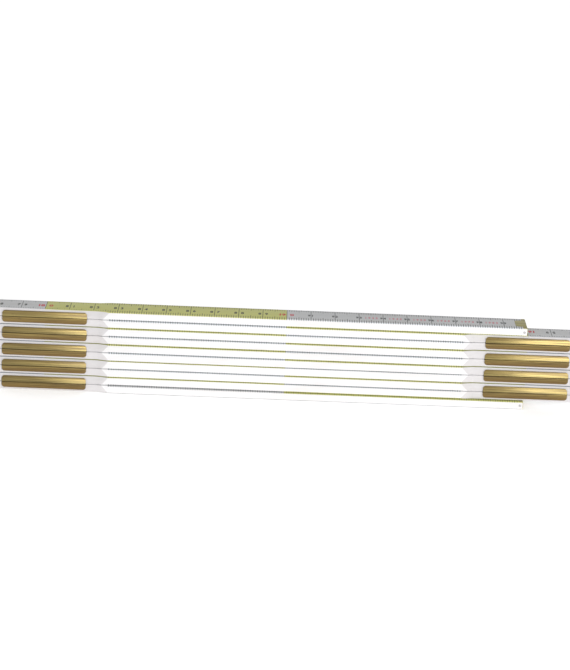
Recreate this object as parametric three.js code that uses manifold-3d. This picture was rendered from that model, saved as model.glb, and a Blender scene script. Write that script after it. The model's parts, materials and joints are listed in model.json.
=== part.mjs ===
// A two metre folding rule, folded: ten wooden blades lie in a stack and are joined in a zigzag
// by nine concealed spring joints. Each joint is an upper and a lower clamp plate, a rivet that the
// plates turn on, and a detent spring. The two free blade ends carry a metal cap and a cross pin.
// Millimetres. +X runs along the blades, +Y across their width, +Z up through the stack.
import * as THREE from "three";
import { mergeVertices } from "three/addons/utils/BufferGeometryUtils.js";
import Module from "manifold-3d";

// Blades
const BLADE_COUNT = 10;
const BLADE_WIDTH = 16;
const BLADE_THICKNESS = 3.35;
const BLADE_GAP = 0.15;
const PIVOT_SPACING = 200;
const END_OVERHANG = 20.5; // from a pivot to the end of the blade beyond it
const JOINTED_CORNER = 2.5; // plan radius at a jointed end
const FREE_CORNER = 0.6; // plan radius at a free end

// Clamp plates
const PLATE_LENGTH = 35;
const PLATE_METAL = 0.45;
const PLATE_HEIGHT = 2.45; // from the web's outer face to the flange tips
const FLANGE_LEAN = THREE.MathUtils.degToRad(13);
const FLANGE_CORNER = 1.2;
const OUTER_BEND = 0.55;
const WEB_GAP = 0.1; // between the two plates of a joint
const FIT = 0.06; // between a plate and the wood it clamps

// The milled flats that the flanges lie on
const RELIEF_REACH = 22; // full depth from the blade end to this far inboard of the pivot
const RELIEF_RUN_OUT = 3.9; // length of the run-out for each unit of depth

// Rivet and detent spring
const RIVET_RADIUS = 2;
const RIVET_HEAD_RADIUS = 3.6;
const RIVET_HEAD_HEIGHT = 0.7;
const RIVET_HEAD_CHAMFER = 0.2;
const RUNNING_GAP = 0.05;
const SPRING_RADIUS = 5.8;
const SPRING_METAL = 0.4;
const DETENT_CIRCLE = 4.4;
const DETENT_RADIUS = 0.7;
const DETENT_HOLE_RADIUS = 0.85;
const POCKET_ROOM = 0.35; // round a head or spring in the wood

// Free end caps and cross pins
const CAP_METAL = 0.4;
const CAP_BEND = 0.5;
const CAP_LEG = 1.8; // full width part, measured from the blade end
const TONGUE_LENGTH = 4.7; // measured from the blade end
const TONGUE_WIDTH = 10;
const TONGUE_CORNER = 2;
const CAP_FIT = 0.05;
const PIN_RADIUS = 0.5;
const PIN_SETBACK = 1.3; // from the blade end to the pin's axis
const PIN_FIT = 0.05;

const PITCH = BLADE_THICKNESS + BLADE_GAP;
const HALF_WIDTH = BLADE_WIDTH / 2;
const PIVOT_X = PIVOT_SPACING / 2;
const WEB_OUTER = WEB_GAP / 2; // heights above the plane between two blades
const WEB_INNER = WEB_OUTER + PLATE_METAL;
const LOWER_HEAD_START = WEB_INNER + RUNNING_GAP;
const SPRING_START = WEB_INNER + RUNNING_GAP;
const UPPER_HEAD_START = SPRING_START + SPRING_METAL + RUNNING_GAP;
const CLEAR = 5; // how far a cutting tool runs past what it cuts

const COLORS = { lacquer: 0xf4f3f0, brass: 0xb08f45, steel: 0x8d8f92 };

const wasm = await Module();
wasm.setup();

// A closed geometry as a solid for cutting and joining.
function solid(geometry) {
  const bare = geometry.index ? geometry.toNonIndexed() : geometry.clone();
  bare.deleteAttribute("normal");
  bare.deleteAttribute("uv");
  const merged = mergeVertices(bare, 1e-4);
  return new wasm.Manifold(
    new wasm.Mesh({
      numProp: 3,
      vertProperties: merged.attributes.position.array,
      triVerts: new Uint32Array(merged.index.array),
    }),
  );
}

// The solid's surface as a flat shaded geometry.
function surface(body) {
  const mesh = body.getMesh();
  const shared = new THREE.BufferGeometry();
  shared.setAttribute("position", new THREE.BufferAttribute(mesh.vertProperties, 3));
  shared.setIndex(new THREE.BufferAttribute(mesh.triVerts, 1));
  const faceted = shared.toNonIndexed();
  faceted.computeVertexNormals();
  return faceted;
}

function cut(body, tools) {
  return tools.reduce((rest, tool) => rest.subtract(solid(tool)), body);
}

// A rectangle from (x0, y0) to (x1, y1) with a corner radius at each end of x.
function roundedRectangle(x0, y0, x1, y1, r0, r1) {
  const shape = new THREE.Shape();
  shape.moveTo(x0 + r0, y0);
  shape.absarc(x1 - r1, y0 + r1, r1, -Math.PI / 2, 0);
  shape.absarc(x1 - r1, y1 - r1, r1, 0, Math.PI / 2);
  shape.absarc(x0 + r0, y1 - r0, r0, Math.PI / 2, Math.PI);
  shape.absarc(x0 + r0, y0 + r0, r0, Math.PI, (3 * Math.PI) / 2);
  return shape;
}

function extrude(shape, z0, z1, curveSegments = 4) {
  const options = { depth: z1 - z0, bevelEnabled: false, curveSegments };
  return new THREE.ExtrudeGeometry(shape, options).translate(0, 0, z0);
}

// A round bar on the axis (x, y), from z0 up to z1.
function bar(radius, z0, z1, x = 0, y = 0, sides = 16) {
  const cylinder = new THREE.CylinderGeometry(radius, radius, z1 - z0, sides);
  return cylinder.rotateX(Math.PI / 2).translate(x, y, (z0 + z1) / 2);
}

// Turns a shape drawn in Y and Z and extruded from x0 to x1 into place.
function extrudeAlongX(shape, x0, x1, curveSegments) {
  const turn = new THREE.Matrix4().makeBasis(
    new THREE.Vector3(0, 1, 0),
    new THREE.Vector3(0, 0, 1),
    new THREE.Vector3(1, 0, 0),
  );
  return extrude(shape, x0, x1, curveSegments).applyMatrix4(turn);
}

// Turns a shape drawn in X and Z, extruded evenly either side of Y = 0, into place.
function extrudeAcross(shape, width, curveSegments) {
  return extrude(shape, -width / 2, width / 2, curveSegments).rotateX(Math.PI / 2);
}

// ---- Clamp plate, in the joint's frame: the pivot is the Z axis and the wood is above z = 0 ----

// Half width of the flange's face at height z, or of a face that lies inside it by inset.
function flangeHalfWidth(z, inset) {
  return HALF_WIDTH - (z - WEB_OUTER) * Math.tan(FLANGE_LEAN) - inset / Math.cos(FLANGE_LEAN);
}

// The channel's section in Y and Z: a flat web and two flanges that lean in over the wood.
function channelSection() {
  const top = WEB_OUTER + PLATE_HEIGHT;
  const bendZ = WEB_OUTER + OUTER_BEND;
  const bendY = flangeHalfWidth(bendZ, OUTER_BEND);
  const right = FLANGE_LEAN;
  const left = Math.PI - FLANGE_LEAN;
  const shape = new THREE.Shape();
  shape.moveTo(-bendY, WEB_OUTER);
  shape.absarc(bendY, bendZ, OUTER_BEND, -Math.PI / 2, right);
  shape.lineTo(flangeHalfWidth(top, 0), top);
  shape.lineTo(flangeHalfWidth(top, PLATE_METAL), top);
  shape.lineTo(flangeHalfWidth(WEB_INNER, PLATE_METAL), WEB_INNER);
  shape.lineTo(-flangeHalfWidth(WEB_INNER, PLATE_METAL), WEB_INNER);
  shape.lineTo(-flangeHalfWidth(top, PLATE_METAL), top);
  shape.lineTo(-flangeHalfWidth(top, 0), top);
  shape.absarc(-bendY, bendZ, OUTER_BEND, left, (3 * Math.PI) / 2);
  return shape;
}

// Places on the detent circle, a number of them evenly round it.
function detentPlaces(count) {
  return Array.from({ length: count }, (_, k) => {
    const angle = (2 * Math.PI * k) / count;
    return [DETENT_CIRCLE * Math.cos(angle), DETENT_CIRCLE * Math.sin(angle)];
  });
}

function clampPlate(detentCount) {
  const channel = extrudeAlongX(channelSection(), -PLATE_LENGTH / 2, PLATE_LENGTH / 2, 3);
  const half = PLATE_LENGTH / 2;
  const top = WEB_OUTER + PLATE_HEIGHT;
  const sideView = new THREE.Shape();
  sideView.moveTo(-half, -CLEAR);
  sideView.lineTo(half, -CLEAR);
  sideView.absarc(half - FLANGE_CORNER, top - FLANGE_CORNER, FLANGE_CORNER, 0, Math.PI / 2);
  sideView.absarc(FLANGE_CORNER - half, top - FLANGE_CORNER, FLANGE_CORNER, Math.PI / 2, Math.PI);
  const window = extrudeAcross(sideView, BLADE_WIDTH + CLEAR, 3);
  const rounded = solid(channel).intersect(solid(window));
  const holes = detentPlaces(detentCount).map(([x, y]) =>
    bar(DETENT_HOLE_RADIUS, -CLEAR, CLEAR, x, y, 8),
  );
  const pivotHole = bar(RIVET_RADIUS + RUNNING_GAP, -CLEAR, CLEAR);
  return surface(cut(rounded, [pivotHole, ...holes]));
}

// ---- Rivet: a shaft through both webs, with a flat head in each blade ----

function rivet() {
  const lowest = -LOWER_HEAD_START - RIVET_HEAD_HEIGHT;
  const highest = UPPER_HEAD_START + RIVET_HEAD_HEIGHT;
  const rim = RIVET_HEAD_RADIUS;
  const flat = rim - RIVET_HEAD_CHAMFER;
  const profile = [
    new THREE.Vector2(0, lowest),
    new THREE.Vector2(flat, lowest),
    new THREE.Vector2(rim, lowest + RIVET_HEAD_CHAMFER),
    new THREE.Vector2(rim, -LOWER_HEAD_START),
    new THREE.Vector2(RIVET_RADIUS, -LOWER_HEAD_START),
    new THREE.Vector2(RIVET_RADIUS, UPPER_HEAD_START),
    new THREE.Vector2(rim, UPPER_HEAD_START),
    new THREE.Vector2(rim, highest - RIVET_HEAD_CHAMFER),
    new THREE.Vector2(flat, highest),
    new THREE.Vector2(0, highest),
  ];
  return new THREE.LatheGeometry(profile, 16).rotateX(Math.PI / 2);
}

// ---- Detent spring: a washer with two studs that reach through the upper web ----

function detentSpring() {
  const top = SPRING_START + SPRING_METAL;
  const washer = cut(solid(bar(SPRING_RADIUS, SPRING_START, top)), [
    bar(RIVET_RADIUS + 3 * RUNNING_GAP, -CLEAR, CLEAR),
  ]);
  const studs = detentPlaces(2).map(([x, y]) =>
    bar(DETENT_RADIUS, WEB_OUTER + RUNNING_GAP, top - SPRING_METAL / 2, x, y, 8),
  );
  return surface(studs.reduce((whole, stud) => whole.add(solid(stud)), washer));
}

// ---- Free end cap, in a frame at the middle of the blade's end face, the blade towards -X ----

// The cap's outline in X and Y: a full width strip at the end and a narrower tongue inboard.
function capOutline(grow) {
  const wide = HALF_WIDTH - CAP_FIT + grow;
  const narrow = TONGUE_WIDTH / 2 + grow;
  const stripEnd = -CAP_LEG - grow;
  const tongueEnd = -TONGUE_LENGTH - grow;
  const corner = TONGUE_CORNER;
  const end = grow > 0 ? CLEAR : 0;
  const shape = new THREE.Shape();
  shape.moveTo(end, -wide);
  shape.lineTo(end, wide);
  shape.lineTo(stripEnd, wide);
  shape.lineTo(stripEnd, narrow);
  shape.absarc(tongueEnd + corner, narrow - corner, corner, Math.PI / 2, Math.PI);
  shape.absarc(tongueEnd + corner, corner - narrow, corner, Math.PI, (3 * Math.PI) / 2);
  shape.lineTo(stripEnd, -narrow);
  shape.lineTo(stripEnd, -wide);
  return shape;
}

function endCap() {
  const middle = BLADE_THICKNESS / 2;
  const section = roundedRectangle(-2 * CLEAR, -middle, 0, middle, 0, CAP_BEND);
  const hollow = roundedRectangle(
    -3 * CLEAR,
    CAP_METAL - middle,
    -CAP_METAL,
    middle - CAP_METAL,
    0,
    CAP_BEND - CAP_METAL,
  );
  const clip = cut(solid(extrudeAcross(section, BLADE_WIDTH)), [
    extrudeAcross(hollow, BLADE_WIDTH + CLEAR),
  ]);
  return surface(clip.intersect(solid(extrude(capOutline(0), -CLEAR, CLEAR))));
}

// What the wood loses to make room for the cap: its two legs and its end wall.
function capRecesses() {
  const depth = CAP_METAL + CAP_FIT;
  const face = BLADE_THICKNESS / 2 - depth;
  const wall = roundedRectangle(-depth, -CLEAR, CLEAR, CLEAR, 0, 0);
  return [
    extrude(capOutline(CAP_FIT), face, CLEAR),
    extrude(capOutline(CAP_FIT), -CLEAR, -face),
    extrudeAcross(wall, BLADE_WIDTH + CLEAR),
  ];
}

function pinBar(radius, length) {
  const cylinder = new THREE.CylinderGeometry(radius, radius, length, 12);
  return cylinder.translate(-PIN_SETBACK, 0, 0);
}

// ---- Blade: a lacquered lath, cut for its joints and its cap ----

// Wood outside a flange's leaning plane, on one side, milled away with a slanted run-out.
function sideRelief(side) {
  const depth = 3;
  const inset = PLATE_METAL + FIT;
  const foot = flangeHalfWidth(0, inset);
  const shape = new THREE.Shape();
  shape.moveTo(-RELIEF_REACH, 0);
  shape.lineTo(END_OVERHANG + CLEAR, 0);
  shape.lineTo(END_OVERHANG + CLEAR, side * depth);
  shape.lineTo(-RELIEF_REACH - RELIEF_RUN_OUT * depth, side * depth);
  const block = extrude(shape, -CLEAR, 2 * CLEAR);
  return block.rotateX(side * FLANGE_LEAN).translate(0, side * foot, 0);
}

// The recess for the web, right across the blade.
function webRecess() {
  const half = PLATE_LENGTH / 2 + FIT;
  const outline = roundedRectangle(-half, -BLADE_WIDTH, half, BLADE_WIDTH, 0, 0);
  return extrude(outline, -CLEAR, WEB_INNER + FIT);
}

// Cutting tools in the joint's frame, with +X towards the blade's nearer end.
function jointTools(isUpper) {
  const springTop = UPPER_HEAD_START + RIVET_HEAD_HEIGHT;
  const headTop = LOWER_HEAD_START + RIVET_HEAD_HEIGHT;
  const pocket = isUpper
    ? bar(SPRING_RADIUS + POCKET_ROOM, -CLEAR, springTop + RUNNING_GAP, 0, 0, 20)
    : bar(RIVET_HEAD_RADIUS + POCKET_ROOM, -CLEAR, headTop + RUNNING_GAP, 0, 0, 20);
  return [sideRelief(1), sideRelief(-1), webRecess(), pocket];
}

// Joint number j joins blade j, above, to blade j + 1, below. Odd joints are at the -X end.
const jointSide = (joint) => (joint % 2 === 1 ? -1 : 1);

// Moves a joint tool into the frame of a blade whose middle is at the origin.
function placeTool(tool, joint, isUpper) {
  const face = (isUpper ? -1 : 1) * (PITCH / 2);
  if (!isUpper) tool.rotateX(Math.PI);
  if (jointSide(joint) < 0) tool.rotateZ(Math.PI);
  return tool.translate(jointSide(joint) * PIVOT_X, 0, face);
}

function blade(number) {
  const joints = [
    { joint: number, isUpper: true },
    { joint: number - 1, isUpper: false },
  ].filter(({ joint }) => joint >= 1 && joint < BLADE_COUNT);
  const hasFreeEnd = joints.length === 1;
  const right = hasFreeEnd ? PIVOT_X : PIVOT_X + END_OVERHANG;
  const corner = hasFreeEnd ? FREE_CORNER : JOINTED_CORNER;
  const left = -PIVOT_X - END_OVERHANG;
  const outline = roundedRectangle(left, -HALF_WIDTH, right, HALF_WIDTH, JOINTED_CORNER, corner);
  const lath = extrude(outline, -BLADE_THICKNESS / 2, BLADE_THICKNESS / 2);
  const tools = joints.flatMap(({ joint, isUpper }) =>
    jointTools(isUpper).map((tool) => placeTool(tool, joint, isUpper)),
  );
  if (hasFreeEnd) {
    const pinHole = pinBar(PIN_RADIUS + PIN_FIT, BLADE_WIDTH + CLEAR);
    const endTools = [...capRecesses(), pinHole];
    tools.push(...endTools.map((tool) => tool.translate(PIVOT_X, 0, 0)));
  }
  return surface(cut(solid(lath), tools));
}

// ---- Assembly ----

const rule = new THREE.Group();
rule.name = "folding_rule";

function finish(color, roughness, metalness) {
  return new THREE.MeshStandardMaterial({ color, roughness, metalness });
}

function add(parent, name, geometry, material) {
  const mesh = new THREE.Mesh(geometry, material);
  mesh.name = name;
  parent.add(mesh);
  return mesh;
}

const bladeMiddle = (number) => (BLADE_COUNT - number) * PITCH + BLADE_THICKNESS / 2;
const label = (number) => String(number).padStart(2, "0");

for (let number = 1; number <= BLADE_COUNT; number += 1) {
  const lath = add(rule, `blade_${label(number)}`, blade(number), finish(COLORS.lacquer, 0.45, 0));
  lath.position.z = bladeMiddle(number);
}

for (let joint = 1; joint < BLADE_COUNT; joint += 1) {
  const frame = new THREE.Group();
  const tag = label(joint);
  frame.position.set(jointSide(joint) * PIVOT_X, 0, bladeMiddle(joint) - PITCH / 2);
  add(frame, `upper_plate_${tag}`, clampPlate(2), finish(COLORS.brass, 0.35, 1));
  const lower = add(frame, `lower_plate_${tag}`, clampPlate(4), finish(COLORS.brass, 0.35, 1));
  lower.rotation.x = Math.PI;
  add(frame, `rivet_${tag}`, rivet(), finish(COLORS.steel, 0.4, 1));
  add(frame, `detent_spring_${tag}`, detentSpring(), finish(COLORS.steel, 0.3, 1));
  rule.add(frame);
}

for (const number of [1, BLADE_COUNT]) {
  const frame = new THREE.Group();
  frame.position.set(PIVOT_X, 0, bladeMiddle(number));
  add(frame, `end_cap_${label(number)}`, endCap(), finish(COLORS.brass, 0.4, 1));
  const pin = pinBar(PIN_RADIUS, BLADE_WIDTH - 2 * PIN_FIT);
  add(frame, `end_pin_${label(number)}`, pin, finish(COLORS.steel, 0.4, 1));
  rule.add(frame);
}

export default rule;
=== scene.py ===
"""Looks of a two metre folding rule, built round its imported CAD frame.

Ten lacquered wooden blades with a printed scale lie folded in a stack. Brass clamp plates, rivets
and detent springs join them, and brass caps with cross pins finish the two free ends.
Shapes are worked out in millimetres and stored in metres, in the frame's own axes: +X along the
blades, +Y away from the camera, +Z up through the stack.
"""
import json
import math

import bmesh
import bpy
from mathutils import Matrix, Vector


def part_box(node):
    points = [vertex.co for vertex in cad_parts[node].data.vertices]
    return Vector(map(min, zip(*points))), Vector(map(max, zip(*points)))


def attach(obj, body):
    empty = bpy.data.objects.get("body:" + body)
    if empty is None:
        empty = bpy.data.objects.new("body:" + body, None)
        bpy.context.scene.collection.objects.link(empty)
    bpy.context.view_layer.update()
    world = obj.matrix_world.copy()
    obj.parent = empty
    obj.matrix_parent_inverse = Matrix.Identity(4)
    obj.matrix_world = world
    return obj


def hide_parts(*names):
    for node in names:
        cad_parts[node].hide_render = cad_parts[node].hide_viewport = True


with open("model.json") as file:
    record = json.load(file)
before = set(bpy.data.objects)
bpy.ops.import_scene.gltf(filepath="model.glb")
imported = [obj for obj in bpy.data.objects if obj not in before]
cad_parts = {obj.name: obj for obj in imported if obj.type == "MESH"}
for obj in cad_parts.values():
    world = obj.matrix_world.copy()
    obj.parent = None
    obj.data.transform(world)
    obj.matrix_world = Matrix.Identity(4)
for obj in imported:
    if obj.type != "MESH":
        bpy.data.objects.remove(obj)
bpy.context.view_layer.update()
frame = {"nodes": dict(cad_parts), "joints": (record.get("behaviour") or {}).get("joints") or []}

MM = 0.001

# ---------------------------------------------------------------- sizes from the frame


def box(node):
    """Lowest and highest corner of a CAD node, in millimetres."""
    low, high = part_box(node)
    return low / MM, high / MM


BLADE_COUNT = sum(name.startswith("blade_") for name in frame["nodes"])
PIVOTS = {int(joint["name"][-2:]): Vector(joint["pos_m"]) / MM for joint in frame["joints"]}
PIVOT_X = abs(PIVOTS[1].x)
PITCH = PIVOTS[1].z - PIVOTS[2].z

blade_low, blade_high = box("blade_01")
END_X = -blade_low.x  # a jointed blade end
FREE_X = blade_high.x
BLADE_HALF = (blade_high.z - blade_low.z) / 2  # half its thickness

plate_low, plate_high = box("upper_plate_01")
PLATE_HALF = (plate_high.x - plate_low.x) / 2
PLATE_TOP = plate_high.z - PIVOTS[1].z  # heights above the plane between two blades
WEB_OUTER = plate_low.z - PIVOTS[1].z

# ---------------------------------------------------------------- sizes of the finished surfaces

PAINT_ROOM = 0.02  # the faces lie this far inside the CAD blade, so that the print fits in its box
HALF_WIDTH = blade_high.y - PAINT_ROOM
HALF_THICK = BLADE_HALF - PAINT_ROOM
FIT = 0.06  # between a plate and the wood it clamps
CLEAR = 5  # how far a cutting tool runs past what it cuts

# Clamp plates
PLATE_METAL = 0.45
FLANGE_LEAN = math.radians(13)
FLANGE_CORNER = 1.2
OUTER_BEND = 0.2
INNER_BEND = 0.05
WEB_INNER = WEB_OUTER + PLATE_METAL
PIVOT_HOLE = 2.05  # radius
DETENT_HOLE = 0.85  # radius
DETENT_CIRCLE = 4.4  # radius of the circle that the detent holes and studs lie on

# Rivets and detent springs
SHAFT_RADIUS = 2.0
HEAD_HEIGHT = 0.7  # a head's radius is that of the frame's rivet
HEAD_ROUND = 0.2  # rounding of a head's outer edge
HEAD_BREAK = 0.05  # chamfer of its inner edge
DISH_DEPTH = 0.04  # of the shallow dish in the middle of a head
DISH_FLOOR = 1.6  # radius
DISH_RIM = 1.75  # radius
SPRING_METAL = 0.4
SPRING_HOLE = 2.15  # radius
STUD_RADIUS = 0.7
STUD_DOME = 0.3  # height of a stud's domed tip
STUD_FOOT = 0.246  # from the CAD stud's tip up to where the dome starts
POCKET_ROOM = 0.35  # round a head or spring in the wood

# Blades
JOINTED_CORNER = 2.5  # plan radius of a jointed blade end
FREE_CORNER = 0.6
END_ROUND = 0.25  # rounding of the end faces' edges
LONG_ROUND = 0.5  # rounding of the long edges
SEAM_WEAR = {1: 1.1, 6: 0.55, 7: 0.85, 8: 0.75, 9: 1.3, 10: 0.75}  # times that, at some seams
PLAIN_SEAM = 9  # its roundings keep the face lacquer, with neither painted light nor painted shade
MILLED_ROUND = 0.2  # rounding of the joint face's edges where the sides are milled
NARROW_ROUND = 0.25  # rounding of the other face's edges there
MILLED_RAMP = 2.0  # length over which the rounding changes
ARC_STEPS = 4  # sides of a long edge's rounding
CREASE_ROOM = 0.02  # least height between the crease and a rounding
RELIEF_REACH = 22  # the milled flats have their full depth up to this far inboard of the pivot
RELIEF_RUN_OUT = 3.9  # length of their run-out for each unit of depth
FOOT_INSET = PLATE_METAL + FIT - WEB_OUTER * math.sin(FLANGE_LEAN)
RELIEF_FOOT = blade_high.y - FOOT_INSET / math.cos(FLANGE_LEAN)  # their half width at the joint's plane
PRINT_STOP = PIVOT_X - RELIEF_REACH  # the joint face is bare from here to the blade end
MILLED_START = PRINT_STOP - 2  # the long edges by the joint face take the darker milled lacquer, painted shade, from here
WRAP_STOP = PIVOT_X - 26.5  # the joint face's paint wraps the long edges up to here
RUN_OUT_STEP = 0.5  # between sections of the run-out
RUN_OUT_SECTIONS = 15
RECESS_STEP = 0.02  # from the web recess's end to the sections beside it
LEAST_STEP = 0.015  # sections nearer to each other than this are left out

# End caps and cross pins
CAP_METAL = 0.3
CAP_BEND = 0.5
CAP_LEG = 1.8  # its full width part, measured from the blade end
TONGUE_LENGTH = 4.7  # measured from the blade end
TONGUE_WIDTH = 10
TONGUE_CORNER = 2
CAP_FIT = 0.05
CAP_SIDE = blade_high.y - 0.25  # the cap lies between two thin cheeks of the blade
PIN_SETBACK = 1.3  # from the blade end to the pin's axis
PIN_FIT = 0.01
PIN_ROUND = 0.15

# Printed scale
INK = 0.018  # height of the print above the lacquer
TICK_WIDTH = 0.22
TICK_LENGTH = 2.9
LONG_TICK = 3.9  # at the centimetres and half centimetres
TICK_ROWS = 4  # points of the long edges' rounding that a tick runs over
TICK_STOP = 0.8  # how far from the edge a tick stops where the side is milled
LINE_WIDTH = 0.2  # a centimetre line between its two ticks
LINE_OVERLAP = 0.2  # of a line and its ticks
LINE_LIFT = 0.9  # of the ticks' height, so that the two don't share a plane
DIGIT_HEIGHT = 3.2
DIGIT_SQUEEZE = 0.58  # width against that of the font
DIGIT_ADVANCE = 1.5  # from one digit to the next
DIGIT_FROM_LINE = 1.3  # from a line to the digit before it
DIGIT_BEYOND = 1.5  # from a line to the digit after it
DIGIT_DROP = 0.6  # the digits stand this much below the middle of the face
BOLD_BEYOND = 2.1  # from a line to the last digit of a decimetre number
BOLD_WIDTH = 1.35
LAST_DECIMETRE = 1900  # smaller numbers close to their lines from here on
SMALL_FROM_LINE = 0.8
SMALL_BEYOND = 0.6
SMALL_SIZE = 0.9
HALF_FIGURES = 1930  # pale red half centimetre figures from here on
FIGURE_SIZE = 0.8
PRINT_ROOM = 0.4  # between a mark and the end of the print


# ---------------------------------------------------------------- small helpers


def node(tree, kind, inputs=None, **settings):
    """Adds a shader node. An input that is a socket is linked, anything else is set as its value."""
    made = tree.nodes.new(kind)
    for key, value in settings.items():
        setattr(made, key, value)
    for key, value in (inputs or {}).items():
        if isinstance(value, bpy.types.NodeSocket):
            tree.links.new(value, made.inputs[key])
        else:
            made.inputs[key].default_value = value
    return made


def noise(tree, scale, detail, roughness=0.5, offset=(0, 0, 0)):
    """Noise with its own scale along each axis, in cells per metre."""
    spot = node(tree, "ShaderNodeTexCoord").outputs["Object"]
    mapped = node(tree, "ShaderNodeMapping", {"Vector": spot, "Scale": scale, "Location": offset})
    inputs = {"Vector": mapped.outputs[0], "Scale": 1.0, "Detail": detail, "Roughness": roughness}
    return node(tree, "ShaderNodeTexNoise", inputs).outputs["Fac"]


def remap(tree, value, low, high, to_low, to_high):
    inputs = {"Value": value, "From Min": low, "From Max": high, "To Min": to_low, "To Max": to_high}
    return node(tree, "ShaderNodeMapRange", inputs).outputs["Result"]


def blend_colors(tree, factor, first, second):
    mix = node(tree, "ShaderNodeMix", data_type="RGBA")
    for socket, value in ((0, factor), (6, first), (7, second)):
        if isinstance(value, bpy.types.NodeSocket):
            tree.links.new(value, mix.inputs[socket])
        else:
            mix.inputs[socket].default_value = value if socket == 0 else (*value, 1)
    return mix.outputs[2]


def new_material(name):
    """A material with a bare Principled surface: (material, tree, principled node)."""
    material = bpy.data.materials.new(name)
    material.use_nodes = True
    tree = material.node_tree
    return material, tree, tree.nodes["Principled BSDF"]


def bump(tree, shader, height, distance, strength=0.5):
    made = node(tree, "ShaderNodeBump", {"Height": height, "Distance": distance, "Strength": strength})
    tree.links.new(made.outputs[0], shader.inputs["Normal"])


def smooth(mesh):
    """Shades a mesh smooth except over its sharp edges."""
    mesh.shade_smooth()
    mesh.set_sharp_from_angle(angle=math.radians(32))


def mesh_object(name, points, faces, materials, indices=None):
    """An object from points in millimetres, its faces turned outwards."""
    mesh = bpy.data.meshes.new(name)
    mesh.from_pydata([Vector(p) * MM for p in points], [], faces)
    for material in materials:
        mesh.materials.append(material)
    if indices:
        mesh.polygons.foreach_set("material_index", indices)
    edit = bmesh.new()
    edit.from_mesh(mesh)
    bmesh.ops.recalc_face_normals(edit, faces=edit.faces)
    edit.to_mesh(mesh)
    edit.free()
    smooth(mesh)
    made = bpy.data.objects.new(name, mesh)
    bpy.context.scene.collection.objects.link(made)
    return made


def bake_modifiers(obj):
    """Replaces the object's mesh by its modified one."""
    graph = bpy.context.evaluated_depsgraph_get()
    mesh = bpy.data.meshes.new_from_object(obj.evaluated_get(graph), depsgraph=graph)
    obj.modifiers.clear()
    obj.data = mesh
    smooth(mesh)


def combine(obj, others, operation="DIFFERENCE"):
    """Cuts the others out of obj, or joins or intersects them, and deletes them."""
    for other in others:
        step = obj.modifiers.new("step", "BOOLEAN")
        step.operation = operation
        step.solver = "MANIFOLD"
        step.object = other
    bake_modifiers(obj)
    for other in others:
        bpy.data.objects.remove(other)


def soften(obj, width, segments=2):
    """Rounds the sharp edges."""
    step = obj.modifiers.new("soften", "BEVEL")
    step.width = width * MM
    step.segments = segments
    step.limit_method = "ANGLE"
    step.angle_limit = math.radians(40)
    bake_modifiers(obj)
    return obj


def loft(name, rings, materials, ring_indices=None, end_indices=(0, 0)):
    """A closed body through rings of points, with flat ends. ring_indices(k) gives the material
    of each side of the stretch between ring k and the next, end_indices those of the ends."""
    size = len(rings[0])
    points = [p for ring in rings for p in ring]
    faces, indices = [], []
    for k in range(len(rings) - 1):
        stretch = ring_indices(k) if ring_indices else [0] * size
        for i in range(size):
            j = (i + 1) % size
            faces.append((k * size + i, k * size + j, (k + 1) * size + j, (k + 1) * size + i))
            indices.append(stretch[i])
    last = (len(rings) - 1) * size
    faces += [tuple(range(size)), tuple(range(last, last + size))]
    indices += end_indices
    return mesh_object(name, points, faces, materials, indices)


def arc(centre_a, centre_b, radius, start, end, steps):
    """Points on an arc, angles in degrees."""
    angles = [math.radians(start + (end - start) * k / steps) for k in range(steps + 1)]
    return [(centre_a + radius * math.cos(t), centre_b + radius * math.sin(t)) for t in angles]


def upright(a, b, c):
    return (a, b, c)


def sideways(a, b, c):
    return (a, c, b)


def prism(name, outline, low, high, turn, materials=()):
    """An extruded outline. turn is upright for an outline in X and Y and sideways for one in
    X and Z, and low and high are its ends along the third axis."""
    rings = [[turn(a, b, c) for a, b in outline] for c in (low, high)]
    return loft(name, rings, materials)


def turned(name, profile, materials, sides=48, axis="Z"):
    """A closed body of revolution from (radius, height) points that start and end on the axis."""
    points, faces = [], []
    inner = profile[1:-1]
    for k in range(sides):
        t = 2 * math.pi * k / sides
        points += [(r * math.cos(t), r * math.sin(t), h) for r, h in inner]
    count = len(inner)
    first, last = len(points), len(points) + 1
    points += [(0, 0, profile[0][1]), (0, 0, profile[-1][1])]
    for k in range(sides):
        a, b = k * count, (k + 1) % sides * count
        faces.append((first, a, b))
        faces.append((last, b + count - 1, a + count - 1))
        faces += [(a + i, a + i + 1, b + i + 1, b + i) for i in range(count - 1)]
    if axis == "Y":
        points = [sideways(*p) for p in points]
    return mesh_object(name, points, faces, materials)


def drum(name, radius, low, high, x=0.0, y=0.0, sides=48, materials=()):
    """A plain round bar for cutting, upright at (x, y)."""
    made = turned(name, [(0, low), (radius, low), (radius, high), (0, high)], materials, sides)
    made.data.transform(Matrix.Translation(Vector((x, y, 0)) * MM))
    return made


def place(obj, matrix, body, slot, *nodes):
    """Moves a finished piece into place, hangs it on the empty of the body it rides on, and hides the
    CAD nodes it stands for.
    """
    obj.data.transform(matrix)
    if matrix.determinant() < 0:
        obj.data.flip_normals()
    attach(obj, body)
    if nodes:
        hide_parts(*nodes)


def shift(x, y, z):
    return Matrix.Translation(Vector((x, y, z)) * MM)


# ---------------------------------------------------------------- camera, floor and light

ELEVATION = 15.0  # degrees
ROLL = 2.25  # degrees
DISTANCE = 1.10  # metres, from the camera to the point aimed at
PICTURE_HEIGHT = 670
PIXELS_PER_MM = 2.42  # at the point aimed at, in a picture of that height
SENSOR = 36
AIM = Vector((-0.5, -blade_high.y, 28.1)) * MM  # on the front of the stack


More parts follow.
